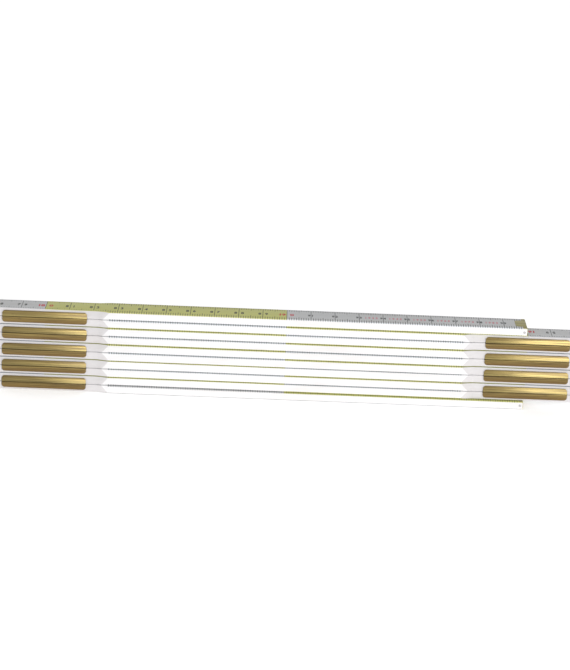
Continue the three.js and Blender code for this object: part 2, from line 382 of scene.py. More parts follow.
def make_camera():
    data = bpy.data.cameras.new("camera")
    data.sensor_width = SENSOR
    data.lens = PIXELS_PER_MM / MM * DISTANCE * SENSOR / PICTURE_HEIGHT
    camera = bpy.data.objects.new("camera", data)
    tilt = math.radians(ELEVATION)
    back = Vector((0, -math.cos(tilt), math.sin(tilt)))
    camera.rotation_mode = "QUATERNION"
    roll = Matrix.Rotation(math.radians(ROLL), 3, "Z").to_quaternion()
    camera.rotation_quaternion = (-back).to_track_quat("-Z", "Y") @ roll
    camera.location = AIM + back * DISTANCE
    bpy.context.scene.collection.objects.link(camera)
    bpy.context.scene.camera = camera


def floor_material():
    material, tree, shader = new_material("pale_floor")
    fine = noise(tree, (90, 90, 90), 4)
    tint = blend_colors(tree, fine, (0.90, 0.90, 0.90), (0.93, 0.93, 0.93))
    tree.links.new(tint, shader.inputs["Base Color"])
    shader.inputs["Roughness"].default_value = 0.8
    shader.inputs["Specular IOR Level"].default_value = 0.2
    shader.inputs["Emission Color"].default_value = (1, 1, 1, 1)
    shader.inputs["Emission Strength"].default_value = 0.44
    return material


def make_floor():
    reach, thickness = 20000, 10
    corners = [(-reach, -reach), (reach, -reach), (reach, reach), (-reach, reach)]
    top = -PAINT_ROOM
    ground = prism("floor", corners, top - thickness, top, upright, [floor_material()])


def area_light(name, location, aim, width, height, watts):
    data = bpy.data.lights.new(name, "AREA")
    data.shape = "RECTANGLE"
    data.size = width
    data.size_y = height
    data.energy = watts
    lamp = bpy.data.objects.new(name, data)
    lamp.location = location
    direction = Vector(aim) - Vector(location)
    lamp.rotation_mode = "QUATERNION"
    lamp.rotation_quaternion = direction.to_track_quat("-Z", "Y")
    bpy.context.scene.collection.objects.link(lamp)


def make_lights():
    area_light("front_softbox", (0, -1.5, 0.45), (0, 0, 0.02), 3.0, 0.9, 4.8)
    area_light("side_softbox", (0.7, -1.5, 0.45), (0, 0, 0.02), 1.3, 0.9, 14.5)
    area_light("top_softbox", (0.2, 0.1, 1.4), (0, 0, 0), 1.2, 1.2, 2.5)
    area_light("back_softbox", (-0.3, 1.5, 0.5), (0, 0, 0.02), 1.5, 0.8, 2)
    world = bpy.data.worlds.new("studio")
    world.use_nodes = True
    backdrop = world.node_tree.nodes["Background"]
    backdrop.inputs["Color"].default_value = (1, 1, 1, 1)
    backdrop.inputs["Strength"].default_value = 0.42
    bpy.context.scene.world = world
    bpy.context.scene.view_settings.view_transform = "Standard"


# ---------------------------------------------------------------- materials


def lacquer(name, light, dark):
    """Satin lacquer over wood: a faint long grain, a few soiled patches and a speckled gloss."""
    material, tree, shader = new_material(name)
    grain = noise(tree, (45, 1700, 1700), 5, 0.6)
    patches = noise(tree, (30, 130, 130), 3, 0.55, (3.1, 1.7, 0.4))
    speckle = noise(tree, (900, 2200, 2200), 2)
    toned = blend_colors(tree, remap(tree, grain, 0.35, 0.75, 0, 1), light, dark)
    soiled = tuple(c * k for c, k in zip(dark, (0.93, 0.9, 0.86)))
    amount = remap(tree, patches, 0.5, 0.8, 0, 0.6)
    tree.links.new(blend_colors(tree, amount, toned, soiled), shader.inputs["Base Color"])
    tree.links.new(remap(tree, speckle, 0.3, 0.7, 0.42, 0.58), shader.inputs["Roughness"])
    shader.inputs["Specular IOR Level"].default_value = 0.25
    bump(tree, shader, grain, 0.00004)
    return material


def bare_wood():
    material, tree, shader = new_material("milled_beech")
    grain = noise(tree, (60, 2400, 2400), 6, 0.65)
    flecks = noise(tree, (250, 2500, 700), 2, 0.5, (5, 2, 1))
    grained = remap(tree, grain, 0.3, 0.7, 0, 1)
    base = blend_colors(tree, grained, (0.63, 0.44, 0.26), (0.45, 0.28, 0.15))
    amount = remap(tree, flecks, 0.62, 0.75, 0, 0.6)
    flecked = blend_colors(tree, amount, base, (0.30, 0.17, 0.09))
    tree.links.new(flecked, shader.inputs["Base Color"])
    shader.inputs["Roughness"].default_value = 0.7
    bump(tree, shader, grain, 0.00006, 0.6)
    return material


def axis_place(tree, axis):
    """The object coordinate along one axis."""
    spot = node(tree, "ShaderNodeTexCoord").outputs["Object"]
    return node(tree, "ShaderNodeSeparateXYZ", {"Vector": spot}).outputs[axis]


TIP_SHADE_REACH = 0.45  # mm, how far outward of a flange's tip the painted shade fades away
TIP_SHADE_RAMP = (0.3, 0.05)  # mm inward of the tip, where it starts and where it is whole


def flange_tarnish(tree, most):
    """How much painted shade a flange gets: most at its tip, which is the part nearest to Y = 0. It goes
    by Y alone, so the web has some along its edges and none over its middle."""
    outward = node(tree, "ShaderNodeMath", {0: axis_place(tree, "Y")}, operation="ABSOLUTE").outputs[0]
    tip = flange_half_width(PLATE_TOP) * MM
    fading = remap(tree, outward, tip, tip + TIP_SHADE_REACH * MM, most, 0)
    start, whole = (tip - inward * MM for inward in TIP_SHADE_RAMP)
    past_web = remap(tree, outward, start, whole, 0, 1)
    return node(tree, "ShaderNodeMath", {0: fading, 1: past_web}, operation="MULTIPLY").outputs[0]


def brass(name, bright, dull, stain, rough=(0.26, 0.46), coat=0.8, tip_shade=0.0):
    """Brass plate, brushed along X, with darker streaks and spots. A clamp plate's flanges also get
    painted shade, darker and redder, most of all at their tips."""
    material, tree, shader = new_material(name)
    streaks = noise(tree, (45, 3600, 3600), 4, 0.6)
    broad = noise(tree, (40, 900, 900), 3, 0.5, (2, 5, 9))
    spots = noise(tree, (260, 900, 900), 4, 0.6, (7, 1, 3))
    base = blend_colors(tree, remap(tree, streaks, 0.42, 0.6, 0, 1), bright, dull)
    streaked = blend_colors(tree, remap(tree, broad, 0.5, 0.72, 0, 0.55), base, stain)
    spotted = blend_colors(tree, remap(tree, spots, 0.62, 0.74, 0, 0.5), streaked, stain)
    # Painted shade: darker and redder towards each flange's tip.
    reddish = tuple(c * k for c, k in zip(bright, (0.55, 0.38, 0.08)))
    tip_shaded = blend_colors(tree, flange_tarnish(tree, tip_shade), spotted, reddish)
    tree.links.new(tip_shaded, shader.inputs["Base Color"])
    shader.inputs["Metallic"].default_value = 1.0
    shader.inputs["Coat Weight"].default_value = coat
    shader.inputs["Coat IOR"].default_value = 1.6
    shader.inputs["Coat Roughness"].default_value = 0.3
    tree.links.new(remap(tree, streaks, 0.3, 0.7, *rough), shader.inputs["Roughness"])
    bump(tree, shader, streaks, 0.00002)
    return material


def steel():
    material, tree, shader = new_material("bright_steel")
    scuffs = noise(tree, (1500, 1500, 1500), 4, 0.6)
    scuffed = remap(tree, scuffs, 0.3, 0.7, 0, 1)
    tint = blend_colors(tree, scuffed, (0.62, 0.62, 0.63), (0.42, 0.42, 0.44))
    tree.links.new(tint, shader.inputs["Base Color"])
    shader.inputs["Metallic"].default_value = 1.0
    tree.links.new(remap(tree, scuffs, 0.3, 0.7, 0.22, 0.4), shader.inputs["Roughness"])
    bump(tree, shader, scuffs, 0.00001)
    return material


def ink(name, color, worn):
    """Printing ink, thin in places."""
    material, tree, shader = new_material(name)
    mottle = noise(tree, (1500, 1500, 1500), 3, 0.6)
    tint = blend_colors(tree, remap(tree, mottle, 0.45, 0.8, 0, 1), color, worn)
    tree.links.new(tint, shader.inputs["Base Color"])
    tree.links.new(remap(tree, mottle, 0.3, 0.7, 0.5, 0.7), shader.inputs["Roughness"])
    shader.inputs["Specular IOR Level"].default_value = 0.2
    bump(tree, shader, mottle, 0.000006)
    return material


# ---------------------------------------------------------------- blades


class Blade:
    """Where one blade lies, and which of its faces meets its neighbour at each end."""

    def __init__(self, number):
        self.number = number
        self.tag = f"{number:02d}"
        low, high = box(f"blade_{self.tag}")
        self.middle = (low.z + high.z) / 2
        self.has_free_end = number in (1, BLADE_COUNT)
        self.joint_faces = {}  # side of the blade in X: side of the joint face in Z
        if number in PIVOTS:
            self.joint_faces[math.copysign(1, PIVOTS[number].x)] = -1
        if number - 1 in PIVOTS:
            self.joint_faces[math.copysign(1, PIVOTS[number - 1].x)] = 1

    def end(self, side):
        return END_X if side in self.joint_faces else FREE_X

    def seam(self, face):
        """The seam that a face lies at, numbered by the blade above it."""
        return self.number if face < 0 else self.number - 1

    def rounding(self, face):
        """Radius of a face's long edges. The blades are not all rubbed down alike."""
        return LONG_ROUND * SEAM_WEAR.get(self.seam(face), 1)

    def ahead(self, face):
        """The direction along X in which a face's scale counts up."""
        return face if self.number % 2 else -face

    def value(self, x, face):
        """Millimetres on a face's scale at x. The lower faces count from the other end."""
        above = 2 * PIVOT_X * (BLADE_COUNT - self.number) + PIVOT_X
        middle = above if face > 0 else 2 * PIVOT_X * BLADE_COUNT - above
        return middle + self.ahead(face) * x

    def place_of(self, value, face):
        return (value - self.value(0, face)) * self.ahead(face)


def plan_inset(distance, radius):
    """How far a rounded corner takes the outline in, at a distance from the end."""
    if distance >= radius:
        return 0.0
    return radius - math.sqrt(max(0.0, radius**2 - (radius - distance) ** 2))


def corner_points(face, z, side_y, lean, radius):
    """A rounded corner from the side to the face, with the outward direction at each point.
    face is 1 or -1, z the face's height, and side_y(z) the side's half width there."""
    centre_z = z - face * radius
    centre_y = side_y(centre_z) - radius / math.cos(lean)
    full = face * math.pi / 2
    points = []
    for k in range(ARC_STEPS + 1):
        angle = lean + (full - lean) * k / ARC_STEPS
        out = (math.cos(angle), math.sin(angle))
        points.append(((centre_y + radius * out[0], centre_z + radius * out[1]), out))
    return points


def half_section(blade, x):
    """The +Y half of the section at x: the lower rounded corner, the crease, and the upper one."""
    side = 1 if x > 0 else -1
    joint_face = blade.joint_faces.get(side)
    from_end = max(0.0, blade.end(side) - abs(x))
    inset = plan_inset(from_end, END_ROUND)
    corner = JOINTED_CORNER if joint_face else FREE_CORNER
    width = HALF_WIDTH - plan_inset(from_end, corner) - inset
    faces = {-1: -HALF_THICK + inset, 1: HALF_THICK - inset}
    radius = {face: blade.rounding(face) for face in (-1, 1)}

    past_reach = PIVOT_X - abs(x) - RELIEF_REACH
    run_out = max(0.0, past_reach) / (RELIEF_RUN_OUT * math.cos(FLANGE_LEAN))

    def leaning(z):
        height = PITCH / 2 - joint_face * z
        return RELIEF_FOOT - height * math.tan(FLANGE_LEAN) + run_out - inset

    def side_y(z):
        return min(width, leaning(z)) if joint_face else width

    if joint_face:
        milled = min(1.0, max(0.0, (abs(x) - WRAP_STOP) / MILLED_RAMP))
        narrow = min(NARROW_ROUND, radius[-joint_face])
        radius[joint_face] += (MILLED_ROUND - radius[joint_face]) * milled
        radius[-joint_face] += (narrow - radius[-joint_face]) * milled
        if abs(abs(x) - PIVOT_X) <= PLATE_HALF + FIT:
            faces[joint_face] = joint_face * (PITCH / 2 - WEB_INNER - FIT)
            radius[joint_face] = FIT

    corners = {}
    for face in (-1, 1):
        z = faces[face]
        leans = joint_face and leaning(z - face * radius[face]) < width
        lean = -joint_face * FLANGE_LEAN if leans else 0.0
        corners[face] = corner_points(face, z, side_y, lean, radius[face])

    low_z, high_z = corners[-1][0][0][1], corners[1][0][0][1]
    crease = (low_z + high_z) / 2
    if joint_face:
        height = (RELIEF_FOOT + run_out - inset - width) / math.tan(FLANGE_LEAN)
        crease = joint_face * (PITCH / 2 - height)
        crease = min(max(crease, low_z + CREASE_ROOM), high_z - CREASE_ROOM)
    crease_point = ((side_y(crease), crease), (1.0, 0.0))
    return [*reversed(corners[-1]), crease_point, *corners[1]]


def section_ring(blade, x):
    """The whole section at x, once round, starting at the middle of the lower face."""
    half = [point for point, _ in half_section(blade, x)]
    low, high = half[0][1], half[-1][1]
    ring = [(0, low), *half, (0, high), *[(-y, z) for y, z in reversed(half)]]
    return [(x, y, blade.middle + z) for y, z in ring]


def rounding_steps(radius, angles):
    """Distances from an end at which its rounding is sampled."""
    return [radius * (1 - math.cos(math.radians(angle))) for angle in angles]


def stations(blade):
    """Where along X the section is taken."""
    places = {-PIVOT_X, 0.0, PIVOT_X}
    for side in (-1, 1):
        end = blade.end(side)
        joint = side in blade.joint_faces
        corner = JOINTED_CORNER if joint else FREE_CORNER
        steps = rounding_steps(END_ROUND, (0, 25, 50, 70, 90))
        steps += rounding_steps(corner, range(20, 91, 7))
        places |= {side * (end - step) for step in steps}
        if joint:
            recess = PLATE_HALF + FIT
            for edge in (PIVOT_X - recess, PIVOT_X + recess):
                places |= {side * (edge - RECESS_STEP), side * (edge + RECESS_STEP)}
            places |= {side * (PRINT_STOP - RUN_OUT_STEP * k) for k in range(RUN_OUT_SECTIONS)}
    ordered = sorted(p for p in places if -blade.end(-1) <= p <= blade.end(1))
    kept = [ordered[0]]
    for p in ordered[1:]:
        if p - kept[-1] > LEAST_STEP:
            kept.append(p)
    return kept


# A blade's materials, in the order of its slots
EDGE, WHITE_FACE, YELLOW_FACE, WHITE_ROUND_LIT, YELLOW_ROUND_LIT = range(5)
WOOD, MILLED, BOTTOM_SHADE, WHITE_SEAM_SHADE, YELLOW_SEAM_SHADE = range(5, 10)


def wraps_here(blade, x, face):
    """Whether a face's paint runs round the long edges at x: not beside a joint, nor where blade 1
    lies on the milled end of blade 2."""
    joint = blade.joint_faces.get(1 if x > 0 else -1)
    beside_milled = blade.number == 1 and face < 0 and x > 0
    return abs(x) < WRAP_STOP or joint != face and not beside_milled


def ticks_wrap_here(blade, x):
    """Whether the ticks run round the long edges at x: not where the sides are milled."""
    return (1 if x > 0 else -1) not in blade.joint_faces or abs(x) < WRAP_STOP


def edge_paint(seam, milled, yellow):
    """Paint of the long edges' rounding at a seam. Seam 0 is the top and BLADE_COUNT the bottom."""
    # Painted shade: a dark grey lacquer on the bottom blade's lower long edges stands in for the shadow
    # where it meets the floor.
    if seam == BLADE_COUNT:
        return BOTTOM_SHADE
    # Painted shade: beside the milled flats, most seams' roundings take darker copies of the face
    # lacquer, for the shade in the seams there.
    if milled and 0 < seam < PLAIN_SEAM:
        return YELLOW_SEAM_SHADE if yellow else WHITE_SEAM_SHADE
    if milled or seam == PLAIN_SEAM:
        return YELLOW_FACE if yellow else WHITE_FACE
    # Painted light: elsewhere the roundings take lighter copies of the face lacquer, for light on the
    # rounded long edges.
    return YELLOW_ROUND_LIT if yellow else WHITE_ROUND_LIT


def paint_of(blade, low_x, high_x):
    """Material of each side of the ring on a stretch."""
    middle = (low_x + high_x) / 2
    joint = blade.joint_faces.get(1 if middle > 0 else -1)
    milled = joint and abs(middle) > WRAP_STOP
    faces, arcs, sides = {}, {}, {}
    for face in (-1, 1):
        yellow = math.floor(blade.value(middle, face) / 100) % 2 == 0
        # The face lacquers are partly painted shade: darker than the edges' white, for faces that get
        # less light.
        faces[face] = YELLOW_FACE if yellow else WHITE_FACE
        sides[face] = EDGE
        if milled:
            # Painted shade: the milled flanks take a darker copy of the edges' white lacquer.
            bare = face != joint or abs(middle) > MILLED_START
            sides[face] = MILLED if bare else EDGE
        paint = edge_paint(blade.seam(face), milled, yellow)
        arcs[face] = paint if wraps_here(blade, middle, face) else sides[face]
    if joint and abs(middle) > PRINT_STOP:
        faces[joint] = EDGE
    lower = [faces[-1], *[arcs[-1]] * (ARC_STEPS - 1), sides[-1], sides[-1]]
    upper = [sides[1], sides[1], *[arcs[1]] * (ARC_STEPS - 1), faces[1]]
    half = lower + upper
    return half + half[::-1]


def leaves_wood(cutter):
    """Makes bare wood of what a cutter cuts."""
    faces = cutter.data.polygons
    faces.foreach_set("material_index", [WOOD] * len(faces))


def joint_pockets(blade, materials):
    """Cutters for the pockets: round a rivet head and its spring above, a head alone below."""
    cutters = []
    for face in blade.joint_faces.values():
        joint = blade.seam(face)
        pivot = PIVOTS[joint]
        rivet_low, rivet_high = box(f"rivet_{joint:02d}")
        low, high = box(f"detent_spring_{joint:02d}") if face < 0 else (rivet_low, rivet_high)
        reach = (high.x - low.x) / 2 + POCKET_ROOM
        if face < 0:
            span = (pivot.z + WEB_OUTER, rivet_high.z + WEB_OUTER)
        else:
            span = (rivet_low.z - WEB_OUTER, pivot.z - WEB_OUTER)
        cutter = drum("cutter", reach, *span, x=pivot.x, materials=materials)
        leaves_wood(cutter)
        cutters.append(cutter)
    return cutters


def cap_outline(grow):
    """The cap in plan, measured from the blade end, with the blade towards -X. Its cutter is the
    same outline, grown all round."""
    wide = CAP_SIDE + grow
    narrow = TONGUE_WIDTH / 2 + grow
    strip, tongue = -CAP_LEG - grow, -TONGUE_LENGTH - grow
    end = CLEAR if grow else 0
    upper = arc(tongue + TONGUE_CORNER, narrow - TONGUE_CORNER, TONGUE_CORNER, 90, 180, 10)
    half = [(end, wide), (strip, wide), (strip, narrow), *upper]
    return half + [(a, -b) for a, b in reversed(half)]


def cap_cutters(blade, materials):
    """Room for the cap's two legs, its end wall and the cross pin."""
    depth = CAP_METAL + CAP_FIT
    face = BLADE_HALF - depth
    wide = CAP_SIDE + CAP_FIT
    wall = [(-depth, -wide), (CLEAR, -wide), (CLEAR, wide), (-depth, wide)]
    wall_reach = 1.1 * CLEAR  # the wall's cutter ends apart from those of the legs
    low, high = box(f"end_pin_{blade.tag}")
    radius, reach = (high.x - low.x) / 2 + PIN_FIT, 2 * CLEAR
    profile = [(0, -reach), (radius, -reach), (radius, reach), (0, reach)]
    bore = turned("cutter", profile, materials, 32, "Y")
    bore.data.transform(shift(-PIN_SETBACK, 0, 0))
    cutters = [
        prism("cutter", cap_outline(CAP_FIT), face, CLEAR, upright, materials),
        prism("cutter", cap_outline(CAP_FIT), -CLEAR, -face, upright, materials),
        prism("cutter", wall, -wall_reach, wall_reach, upright, materials),
        bore,
    ]
    for cutter in cutters:
        cutter.data.transform(shift(FREE_X, 0, blade.middle))
        leaves_wood(cutter)
    return cutters


def make_blade(blade, paints):
    places = stations(blade)
    rings = [section_ring(blade, x) for x in places]
    # The jointed end faces take that darker lacquer too, painted shade.
    ends = [MILLED if side in blade.joint_faces else EDGE for side in (-1, 1)]

    def stretch_paint(k):
        return paint_of(blade, places[k], places[k + 1])

    body = loft(f"lath_{blade.tag}", rings, paints, stretch_paint, ends)
    cutters = joint_pockets(blade, paints)
    if blade.has_free_end:
        cutters += cap_cutters(blade, paints)
    combine(body, cutters)
    place(body, Matrix(), f"link_{blade.tag}", "lacquered_wood", f"blade_{blade.tag}")


# ---------------------------------------------------------------- printed scale


class Print:
    """Collects thin closed slabs of ink for one blade and one color."""

    def __init__(self):
        self.points = []
        self.faces = []

    def strip(self, rows):
        """A strip through rows of (point at its low X side, point at its high X side, outward)."""
        start = len(self.points)
        for low, high, out in rows:
            lift = Vector(out) * INK
            low, high = Vector(low), Vector(high)
            self.points += [low + lift, high + lift, high - lift, low - lift]
        for k in range(len(rows) - 1):
            a, b = start + 4 * k, start + 4 * (k + 1)
            self.faces += [(a + i, a + (i + 1) % 4, b + (i + 1) % 4, b + i) for i in range(4)]
        last = start + 4 * (len(rows) - 1)
        self.faces += [tuple(range(start, start + 4)), tuple(range(last, last + 4))]

    def add(self, points, faces):
        start = len(self.points)
        self.points += points
        self.faces += [tuple(start + i for i in face) for face in faces]


def tick_rows(blade, x, face, side, length):
    """Rows of a tick that starts its length in from the blade's full width. Beside a milled side
    it stops short of the long edge, and elsewhere it runs round it. face is 1 for the upper face
    and side is 1 for +Y."""
    inner = HALF_WIDTH - length
    sections = [half_section(blade, x + step * TICK_WIDTH / 2) for step in (-1, 1)]
    arcs = [s[-1 : -1 - ARC_STEPS : -1] if face > 0 else s[:ARC_STEPS] for s in sections]
    wraps = ticks_wrap_here(blade, x)
    z = arcs[0][0][0][1]
    reach = arcs[0][0][0][0]
    rows = []
    for y in ((inner,) if wraps else (inner, reach - TICK_STOP)):
        if reach > inner:
            ends = [(x + step * TICK_WIDTH / 2, side * y, blade.middle + z) for step in (-1, 1)]
            rows.append((*ends, (0, 0, face)))
    if not wraps:
        return rows
    for k in range(TICK_ROWS):
        out = arcs[0][k][1]
        ends = []
        for step, points in zip((-1, 1), arcs):
            y, height = points[k][0]
            ends.append((x + step * TICK_WIDTH / 2, side * y, blade.middle + height))
        rows.append((*ends, (0, side * out[0], out[1])))
    return rows


def line_rows(blade, x, face):
    """Rows of a centimetre line, from just inside the tick at one edge to the other."""
    reach = HALF_WIDTH - LONG_TICK + LINE_OVERLAP
    z = blade.middle + face * HALF_THICK
    rows = []
    for side in (-1, 1):
        ends = [(x + step * LINE_WIDTH / 2, side * reach, z) for step in (-1, 1)]
        rows.append((*ends, (0, 0, face * LINE_LIFT)))
    return rows


def digit_shapes():
    """The ten digits as thin closed slabs one unit high: {digit: (points, faces)}."""
    shapes = {}
    for digit in "0123456789":
        curve = bpy.data.curves.new("digit", "FONT")
        curve.body = digit
        curve.resolution_u = 3
        curve.extrude = 0.5
        curve.offset = 0.03
        source = bpy.data.objects.new("digit", curve)
        bpy.context.scene.collection.objects.link(source)
        graph = bpy.context.evaluated_depsgraph_get()
        mesh = bpy.data.meshes.new_from_object(source.evaluated_get(graph), depsgraph=graph)
        edit = bmesh.new()
        edit.from_mesh(mesh)
        bmesh.ops.remove_doubles(edit, verts=edit.verts, dist=1e-5)
        low = Vector(min(v.co[i] for v in edit.verts) for i in range(3))
        high = Vector(max(v.co[i] for v in edit.verts) for i in range(3))
        middle = (low + high) / 2
        scale = 1 / (high.y - low.y)
        centred = [v.co - Vector((middle.x, middle.y, 0)) for v in edit.verts]
        points = [Vector((p.x * scale, p.y * scale, p.z)) for p in centred]
        faces = [tuple(v.index for v in f.verts) for f in edit.faces]
        shapes[digit] = (points, faces)
        edit.free()
        bpy.data.objects.remove(source)
    return shapes


def across_line(text, from_line=DIGIT_FROM_LINE, beyond=DIGIT_BEYOND):
    """A centimetre number's digits and offsets: the last one after its line, the rest before."""
    before = text[:-1] or text
    after = text[-1:] if len(text) > 1 else ""
    digits = [(d, -from_line - DIGIT_ADVANCE * k) for k, d in enumerate(reversed(before))]
    return digits + [(d, beyond) for d in after]


def print_digits(sheet, shapes, blade, digits, x, face, size=1.0):
    """Digits at their offsets from x in the direction in which the face's scale counts. Sizes
    over 1 make them wider and not higher."""
    ahead = blade.ahead(face)
    across = face * ahead  # Y direction of the digits' upper side
    surface = blade.middle + face * HALF_THICK
    for digit, offset in digits:
        if not printed_here(blade, x + ahead * offset, face, DIGIT_ADVANCE / 2):
            continue
        points, faces = shapes[digit]
        placed = []
        for p in points:
            right = offset + p.x * DIGIT_HEIGHT * DIGIT_SQUEEZE * size
            up = p.y * DIGIT_HEIGHT * min(size, 1) - DIGIT_DROP
            placed.append(Vector((x + ahead * right, across * up, surface + face * p.z * 2 * INK)))
        sheet.add(placed, faces)


def printed_here(blade, x, face, room=PRINT_ROOM):
    """Whether a face carries print at x: not under a neighbour, a cap or past the end."""
    joint = blade.joint_faces.get(1 if x > 0 else -1)
    limit = END_X if joint else FREE_X - CAP_LEG
    if joint == face:
        limit = PRINT_STOP
    return abs(x) < limit - room


def print_number(sheets, shapes, blade, value, x, face):
    """A centimetre line's number: red and in full at a decimetre, and otherwise its last two
    digits, or all of them where the first of those two would be a nought. The last decimetre has
    small ones."""
    number = value // 10
    short = str(number % 100 if number % 100 > 9 else number)
    if value > LAST_DECIMETRE:
        digits = across_line(short, SMALL_FROM_LINE, SMALL_BEYOND)
        print_digits(sheets["black"], shapes, blade, digits, x, face, SMALL_SIZE)
    elif number % 10:
        print_digits(sheets["black"], shapes, blade, across_line(short), x, face)
    else:
        digits = across_line(str(number), DIGIT_FROM_LINE, BOLD_BEYOND)
        print_digits(sheets["red"], shapes, blade, digits, x, face, BOLD_WIDTH)


def print_half_figure(sheet, shapes, blade, value, x, face):
    """The small figure at a half centimetre, in millimetres, clear of the cap's tongue."""
    room = TONGUE_LENGTH - CAP_LEG + 2 * DIGIT_ADVANCE
    if printed_here(blade, x, face, room):
        text = str(value)
        middle = (len(text) - 1) / 2
        figures = [(d, (k - middle) * DIGIT_ADVANCE) for k, d in enumerate(text)]
        print_digits(sheet, shapes, blade, figures, x, face, FIGURE_SIZE)


def make_print(blade, inks, shapes):
    sheets = {kind: Print() for kind in ("black", "red", "pale_red")}
    for face in (-1, 1):
        ends = sorted(blade.value(side * END_X, face) for side in (-1, 1))
        for value in range(math.ceil(ends[0]), math.floor(ends[1]) + 1):
            x = blade.place_of(value, face)
            if not printed_here(blade, x, face):
                continue
            for side in (-1, 1):
                rows = tick_rows(blade, x, face, side, TICK_LENGTH if value % 5 else LONG_TICK)
                if len(rows) > 1:
                    sheets["black"].strip(rows)
            if value % 10 == 0:
                sheets["black"].strip(line_rows(blade, x, face))
                print_number(sheets, shapes, blade, value, x, face)
            elif value % 5 == 0 and value > HALF_FIGURES:
                print_half_figure(sheets["pale_red"], shapes, blade, value, x, face)
    for kind, sheet in sheets.items():
        if sheet.points:
            obj = mesh_object(f"scale_{kind}_{blade.tag}", sheet.points, sheet.faces, [inks[kind]])
            place(obj, Matrix(), f"link_{blade.tag}", "lacquered_wood")


# ---------------------------------------------------------------- joints


def flange_half_width(z, inset=0.0):
    """Half width of a flange's face at height z, or of a face that lies inside it by inset."""
    lean = (z - WEB_OUTER) * math.tan(FLANGE_LEAN)
    return blade_high.y - lean - inset / math.cos(FLANGE_LEAN)


def plate_profile():
    """One half of the channel from the web's middle to the flange tip: (outer point, inner
    point, how far the row's end is taken in by the flange's rounded corner)."""
    rows = [((0, WEB_OUTER), (0, WEB_INNER), 0.0)]
    bends = []
    for depth, radius in ((0, OUTER_BEND), (PLATE_METAL, INNER_BEND)):
        centre_z = WEB_OUTER + depth + radius
        centre_y = flange_half_width(centre_z, depth + radius)
        bends.append(arc(centre_y, centre_z, radius, -90, math.degrees(FLANGE_LEAN), 8))
    rows += [(outer, inner, 0.0) for outer, inner in zip(*bends)]
    for k in range(10):
        angle = math.radians(10 * k)
        z = PLATE_TOP - FLANGE_CORNER * (1 - math.sin(angle))
        inset = FLANGE_CORNER * (1 - math.cos(angle))
        rows.append(((flange_half_width(z), z), (flange_half_width(z, PLATE_METAL), z), inset))
    return rows


def plate_mesh(name, detents, material):
    """A clamp plate in the joint's frame, the wood above it."""
    half = plate_profile()
    rows = [((-o[0], o[1]), (-i[0], i[1]), inset) for o, i, inset in reversed(half[1:])] + half
    outline = [(o, inset) for o, _, inset in rows] + [(i, inset) for _, i, inset in reversed(rows)]
    rings = []
    for side in (-1, 1):
        rings.append([(side * (PLATE_HALF - inset), y, z) for (y, z), inset in outline])
    size, count = len(outline), len(rows)
    points = rings[0] + rings[1]
    faces = [(i, (i + 1) % size, size + (i + 1) % size, size + i) for i in range(size)]
    for k in range(count - 1):
        for base in (0, size):
            faces.append((base + k, base + k + 1, base + size - 2 - k, base + size - 1 - k))
    plate = mesh_object(name, points, faces, [material])
    cutters = [drum("cutter", PIVOT_HOLE, -CLEAR, CLEAR)]
    for k in range(detents):
        angle = 2 * math.pi * k / detents
        x, y = DETENT_CIRCLE * math.cos(angle), DETENT_CIRCLE * math.sin(angle)
        cutters.append(drum("cutter", DETENT_HOLE, -CLEAR, CLEAR, x, y, 32))
    combine(plate, cutters)
    return soften(plate, width=0.07)


def head_profile(end, inward, radius):
    """Half of a rivet's profile, from the dish in a head's end to its shaft. inward is 1 when
    the shaft is above the head."""
    dish, inner = end + inward * DISH_DEPTH, end + inward * HEAD_HEIGHT
    rim = arc(radius - HEAD_ROUND, 0, HEAD_ROUND, -90, 0, 5)
    profile = [(0, dish), (DISH_FLOOR, dish), (DISH_RIM, end)]
    profile += [(r, end + inward * (HEAD_ROUND + h)) for r, h in rim]
    profile += [(radius, inner - inward * HEAD_BREAK), (radius - HEAD_BREAK, inner)]
    return [*profile, (SHAFT_RADIUS, inner)]


def make_rivet(name, material):
    low, high = box("rivet_01")
    low, high = low - PIVOTS[1], high - PIVOTS[1]
    profile = head_profile(low.z, 1, high.x)
    profile += reversed(head_profile(high.z, -1, high.x))
    return turned(name, profile, [material])


def make_spring(name, material):
    """A flat washer with two domed studs that reach down through the plate's web."""
    low, high = box("detent_spring_01")
    low, high = low - PIVOTS[1], high - PIVOTS[1]
    under = high.z - SPRING_METAL
    washer = drum(name, high.x, under, high.z, sides=64, materials=[material])
    combine(washer, [drum("cutter", SPRING_HOLE, -CLEAR, CLEAR)])
    root = under + SPRING_METAL / 2
    dome = arc(0, 0, 1, -90, 0, 6)
    profile = [(STUD_RADIUS * r, low.z + STUD_FOOT + STUD_DOME * h) for r, h in dome]
    profile += [(STUD_RADIUS, root), (0, root)]
    studs = []
    for side in (-1, 1):
        stud = turned("stud", profile, [], 32)
        stud.data.transform(shift(side * DETENT_CIRCLE, 0, 0))
        studs.append(stud)
    combine(washer, studs, "UNION")
    return soften(washer, width=0.04, segments=1)


def make_joint(joint, metals):
    tag, below = f"{joint:02d}", f"{joint + 1:02d}"
    at = shift(*PIVOTS[joint])
    over = Matrix.Rotation(math.pi, 4, "X")
    upper, lower = f"link_{tag}", f"link_{below}"
    plate = plate_mesh(f"clamp_upper_{tag}", 2, metals["upper"])
    place(plate, at, upper, "brass_plate", f"upper_plate_{tag}")
    plate = plate_mesh(f"clamp_lower_{tag}", 4, metals["lower"])
    place(plate, at @ over, lower, "brass_plate", f"lower_plate_{tag}")
    pin = make_rivet(f"pivot_rivet_{tag}", metals["steel"])
    place(pin, at, lower, "joint_steel", f"rivet_{tag}")
    spring = make_spring(f"click_spring_{tag}", metals["steel"])
    place(spring, at, upper, "joint_steel", f"detent_spring_{tag}")


# ---------------------------------------------------------------- free ends


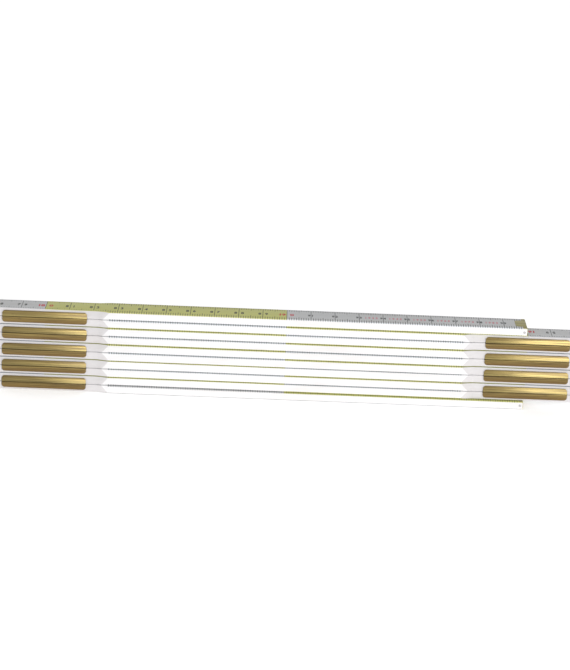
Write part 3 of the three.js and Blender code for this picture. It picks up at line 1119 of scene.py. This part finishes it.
def cap_section(inset, reach):
    """The cap's outer face from the side, or a face inside it, measured from the blade end."""
    bend, height = CAP_BEND - inset, BLADE_HALF - inset
    upper = arc(-inset - bend, height - bend, bend, 0, 90, 8)
    lower = arc(-inset - bend, bend - height, bend, -90, 0, 8)
    return [(-reach, -height), *lower, *upper, (-reach, height)]


def make_cap(blade, metal):
    width = blade_high.y
    hollow_width = 2 * width
    cap = prism(f"tip_cap_{blade.tag}", cap_section(0, 2 * CLEAR), -width, width, sideways, [metal])
    section = cap_section(CAP_METAL, 3 * CLEAR)
    combine(cap, [prism("cutter", section, -hollow_width, hollow_width, sideways)])
    combine(cap, [prism("cutter", cap_outline(0), -CLEAR, CLEAR, upright)], "INTERSECT")
    soften(cap, width=0.06)
    at = shift(FREE_X, 0, blade.middle)
    place(cap, at, f"link_{blade.tag}", "cap_brass", f"end_cap_{blade.tag}")


def make_pin(blade, metal):
    low, high = box(f"end_pin_{blade.tag}")
    radius, half = (high.x - low.x) / 2, (high.y - low.y) / 2
    profile = [(0, -half), *arc(radius - PIN_ROUND, PIN_ROUND - half, PIN_ROUND, -90, 0, 4)]
    profile += [*arc(radius - PIN_ROUND, half - PIN_ROUND, PIN_ROUND, 0, 90, 4), (0, half)]
    pin = turned(f"tip_pin_{blade.tag}", profile, [metal], 32, "Y")
    at = shift(FREE_X - PIN_SETBACK, 0, blade.middle)
    place(pin, at, f"link_{blade.tag}", "joint_steel", f"end_pin_{blade.tag}")


# ---------------------------------------------------------------- assembly

make_camera()
make_floor()
make_lights()

paints = [
    lacquer("lacquer_edge", (0.81, 0.80, 0.805), (0.77, 0.76, 0.765)),
    # Partly painted shade: the faces' white and yellow are darker than the edges' white lacquer, since
    # the faces get less light than the front edges.
    lacquer("lacquer_white_face", (0.625, 0.63, 0.635), (0.56, 0.565, 0.57)),
    lacquer("lacquer_yellow_face", (0.615, 0.62, 0.212), (0.55, 0.55, 0.168)),
    # Painted light: lighter copies of the face lacquers, for the rounded long edges.
    lacquer("lacquer_white_round_lit", (0.78, 0.81, 0.83), (0.63, 0.67, 0.70)),
    lacquer("lacquer_yellow_round_lit", (0.73, 0.73, 0.32), (0.62, 0.62, 0.20)),
    bare_wood(),
    # Painted shade: a darker, pinkish copy of the edges' white, for the milled flanks and the jointed
    # end faces.
    lacquer("lacquer_milled_shade", (0.67, 0.65, 0.655), (0.63, 0.61, 0.615)),
    # Painted shade: a dark grey copy of the white lacquer for the bottom blade's lower long edges, along
    # the floor.
    lacquer("lacquer_bottom_shade", (0.40, 0.405, 0.41), (0.34, 0.345, 0.35)),
    # Painted shade: darker copies of the face lacquers, for the roundings in the seams beside the milled
    # flats.
    lacquer("lacquer_white_seam_shade", (0.42, 0.45, 0.48), (0.34, 0.37, 0.40)),
    lacquer("lacquer_yellow_seam_shade", (0.42, 0.43, 0.22), (0.36, 0.365, 0.18)),
]
inks = {
    "black": ink("scale_ink_black", (0.05, 0.055, 0.055), (0.11, 0.12, 0.11)),
    "red": ink("scale_ink_red", (0.60, 0.03, 0.05), (0.62, 0.12, 0.12)),
    "pale_red": ink("scale_ink_pale_red", (0.62, 0.20, 0.24), (0.64, 0.34, 0.37)),
}
metals = {
    "upper": brass(
        "clamp_brass", (0.34, 0.26, 0.075), (0.14, 0.10, 0.019), (0.10, 0.062, 0.01), tip_shade=0.4
    ),
    # Painted shade: a darker copy of the same brass, with more shade at the flange tips, for the lower
    # plates, whose flanges face down.
    "lower": brass(
        "clamp_brass_shaded", (0.31, 0.215, 0.05), (0.125, 0.078, 0.011), (0.09, 0.05, 0.007), tip_shade=0.75
    ),
    "cap": brass(
        "cap_brass_dull", (0.50, 0.46, 0.225), (0.37, 0.335, 0.155), (0.18, 0.14, 0.06), (0.4, 0.6), 0
    ),
    "steel": steel(),
}

shapes = digit_shapes()
blades = [Blade(number) for number in range(1, BLADE_COUNT + 1)]
for blade in blades:
    make_blade(blade, paints)
    make_print(blade, inks, shapes)
    if blade.has_free_end:
        make_cap(blade, metals["cap"])
        make_pin(blade, metals["steel"])
for joint in sorted(PIVOTS):
    make_joint(joint, metals)
